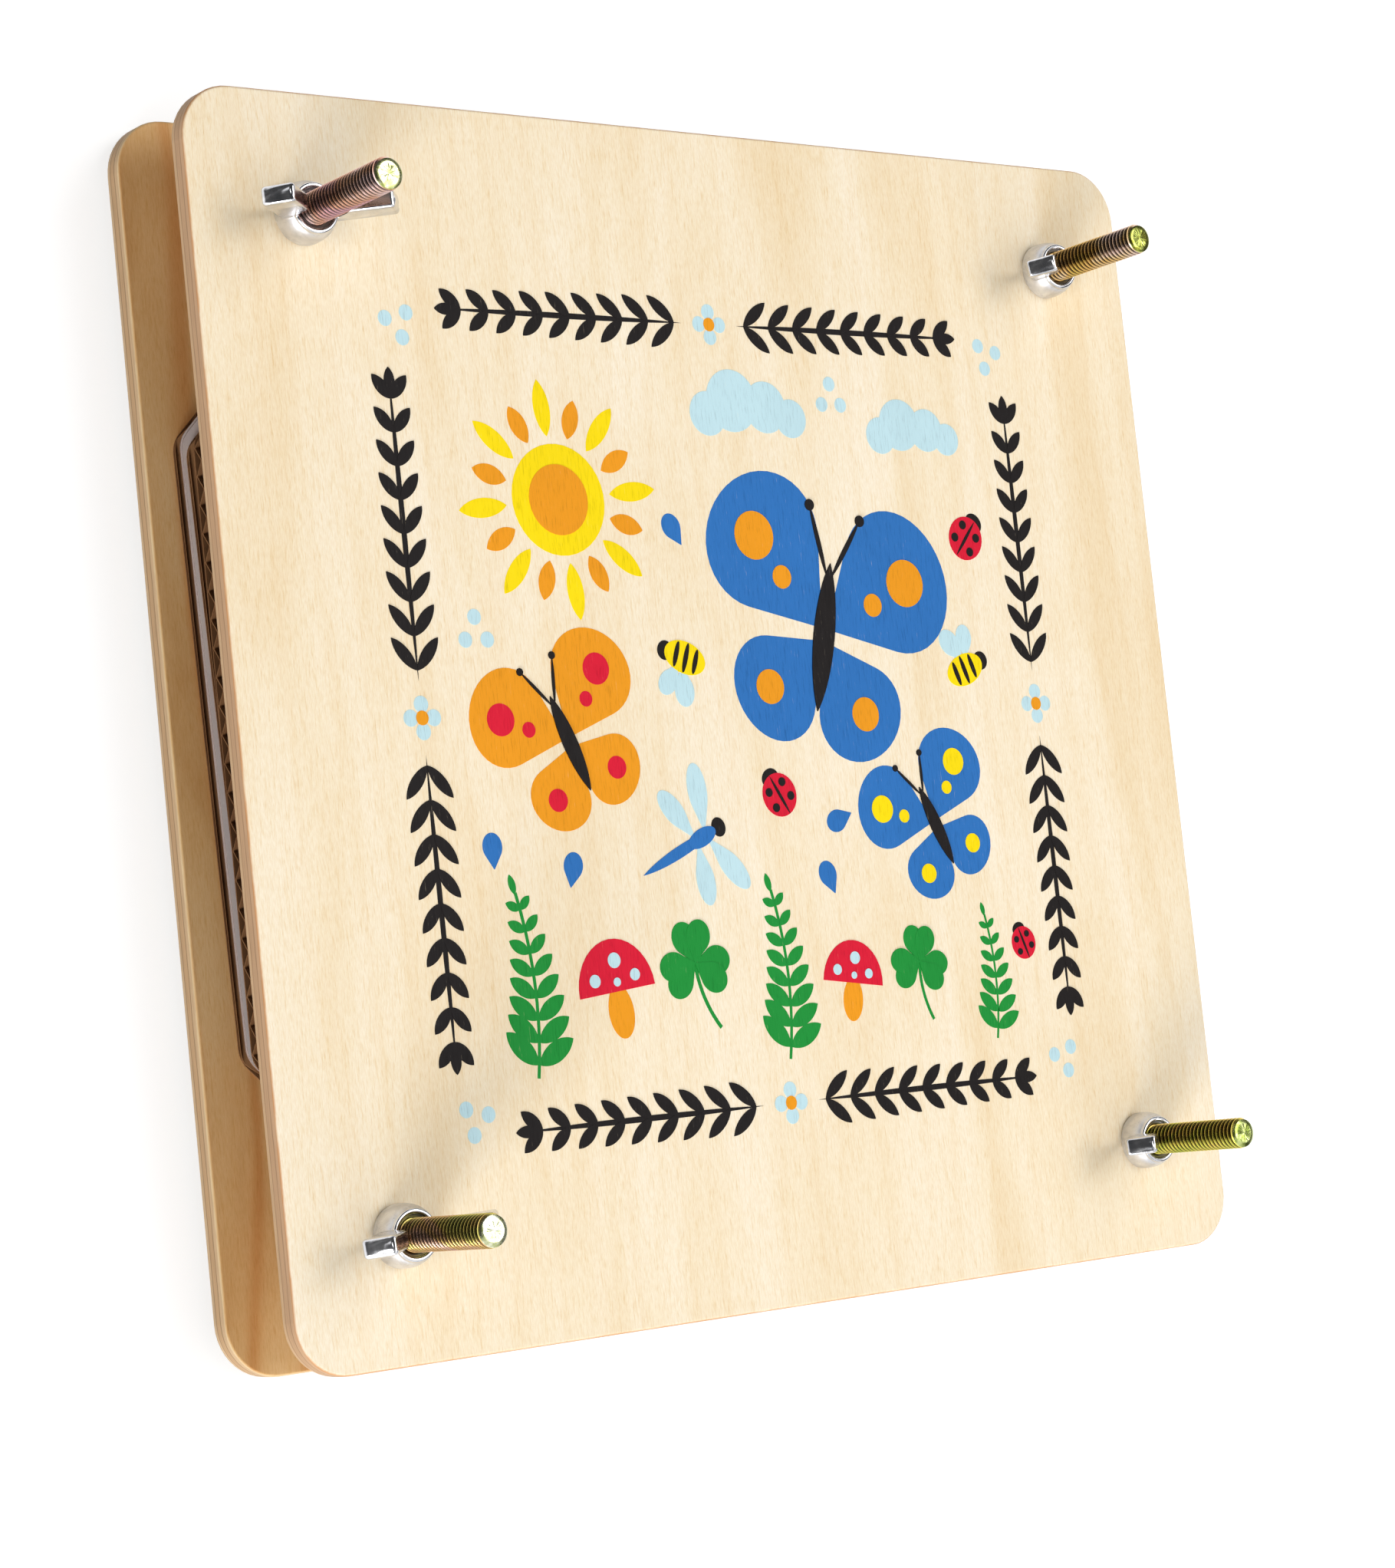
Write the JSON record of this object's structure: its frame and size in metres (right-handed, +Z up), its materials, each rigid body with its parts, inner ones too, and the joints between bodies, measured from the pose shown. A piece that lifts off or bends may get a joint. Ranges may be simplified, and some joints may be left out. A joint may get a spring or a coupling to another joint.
{
  "type": "flower press",
  "caption": "Square flower press: plywood boards clamp a stack of corrugated card and blotting paper with corner bolts and wing nuts.",
  "frame": {"origin": "middle of the four bolt heads, on the surface that the press lies on", "axes": "+Z up along the bolts from the back board to the front board, +Y towards the top of the printed face, +X to its right"},
  "size_m": [0.22, 0.22, 0.0583],
  "materials": {
    "plywood": "sanded birch plywood",
    "yellow_zinc": "yellow passivated zinc on a rolled thread",
    "bright_zinc": "bright zinc plated casting",
    "corrugated_card": "brown kraft, single wall",
    "blotting_paper": "soft uncoated",
    "printing_ink": "thin screen print in several colours on the front board"
  },
  "bodies": {
    "base": {"back_board": "plywood", "coach_bolt_top_left": "yellow_zinc", "coach_bolt_top_right": "yellow_zinc", "coach_bolt_bottom_right": "yellow_zinc", "coach_bolt_bottom_left": "yellow_zinc", "corrugated_card_1": "corrugated_card", "blotting_paper_1": "blotting_paper"},
    "layer_2": {"blotting_paper_2": "blotting_paper", "corrugated_card_2": "corrugated_card", "blotting_paper_3": "blotting_paper"},
    "layer_3": {"blotting_paper_4": "blotting_paper", "corrugated_card_3": "corrugated_card", "blotting_paper_5": "blotting_paper"},
    "layer_4": {"blotting_paper_6": "blotting_paper", "corrugated_card_4": "corrugated_card", "blotting_paper_7": "blotting_paper"},
    "layer_5": {"blotting_paper_8": "blotting_paper", "corrugated_card_5": "corrugated_card", "blotting_paper_9": "blotting_paper"},
    "layer_6": {"blotting_paper_10": "blotting_paper", "corrugated_card_6": "corrugated_card"},
    "front_board": {"front_board": "plywood"},
    "nut_top_left": {"wing_nut_top_left": "bright_zinc"},
    "nut_top_right": {"wing_nut_top_right": "bright_zinc"},
    "nut_bottom_right": {"wing_nut_bottom_right": "bright_zinc"},
    "nut_bottom_left": {"wing_nut_bottom_left": "bright_zinc"}
  },
  "joints": [
    {"name": "front_board_lift", "type": "slide", "parent": "base", "child": "front_board", "axis": [0, 0, 1], "range_m": [0, 0.022]},
    {"name": "nut_top_left_turn", "type": "hinge", "parent": "front_board", "child": "nut_top_left", "pos_m": [-0.088, 0.088, 0.0299], "axis": [0, 0, 1], "range_deg": [0, 7920]},
    {"name": "nut_top_right_turn", "type": "hinge", "parent": "front_board", "child": "nut_top_right", "pos_m": [0.088, 0.088, 0.0299], "axis": [0, 0, 1], "range_deg": [0, 7920]},
    {"name": "nut_bottom_right_turn", "type": "hinge", "parent": "front_board", "child": "nut_bottom_right", "pos_m": [0.088, -0.088, 0.0299], "axis": [0, 0, 1], "range_deg": [0, 7920]},
    {"name": "nut_bottom_left_turn", "type": "hinge", "parent": "front_board", "child": "nut_bottom_left", "pos_m": [-0.088, -0.088, 0.0299], "axis": [0, 0, 1], "range_deg": [0, 7920]},
    {"name": "layer_2_lift", "type": "slide", "parent": "base", "child": "layer_2", "axis": [0, 0, 1], "range_m": [0, 0.00367]},
    {"name": "layer_3_lift", "type": "slide", "parent": "base", "child": "layer_3", "axis": [0, 0, 1], "range_m": [0, 0.00733]},
    {"name": "layer_4_lift", "type": "slide", "parent": "base", "child": "layer_4", "axis": [0, 0, 1], "range_m": [0, 0.011]},
    {"name": "layer_5_lift", "type": "slide", "parent": "base", "child": "layer_5", "axis": [0, 0, 1], "range_m": [0, 0.01467]},
    {"name": "layer_6_lift", "type": "slide", "parent": "base", "child": "layer_6", "axis": [0, 0, 1], "range_m": [0, 0.01833]}
  ],
  "couplings": [
    {"joint": "nut_top_left_turn", "follows": "front_board_lift", "rad_per_m": 6283.2},
    {"joint": "nut_top_right_turn", "follows": "front_board_lift", "rad_per_m": 6283.2},
    {"joint": "nut_bottom_right_turn", "follows": "front_board_lift", "rad_per_m": 6283.2},
    {"joint": "nut_bottom_left_turn", "follows": "front_board_lift", "rad_per_m": 6283.2},
    {"joint": "layer_2_lift", "follows": "front_board_lift", "ratio": 0.16667},
    {"joint": "layer_3_lift", "follows": "front_board_lift", "ratio": 0.33333},
    {"joint": "layer_4_lift", "follows": "front_board_lift", "ratio": 0.5},
    {"joint": "layer_5_lift", "follows": "front_board_lift", "ratio": 0.66667},
    {"joint": "layer_6_lift", "follows": "front_board_lift", "ratio": 0.83333}
  ]
}
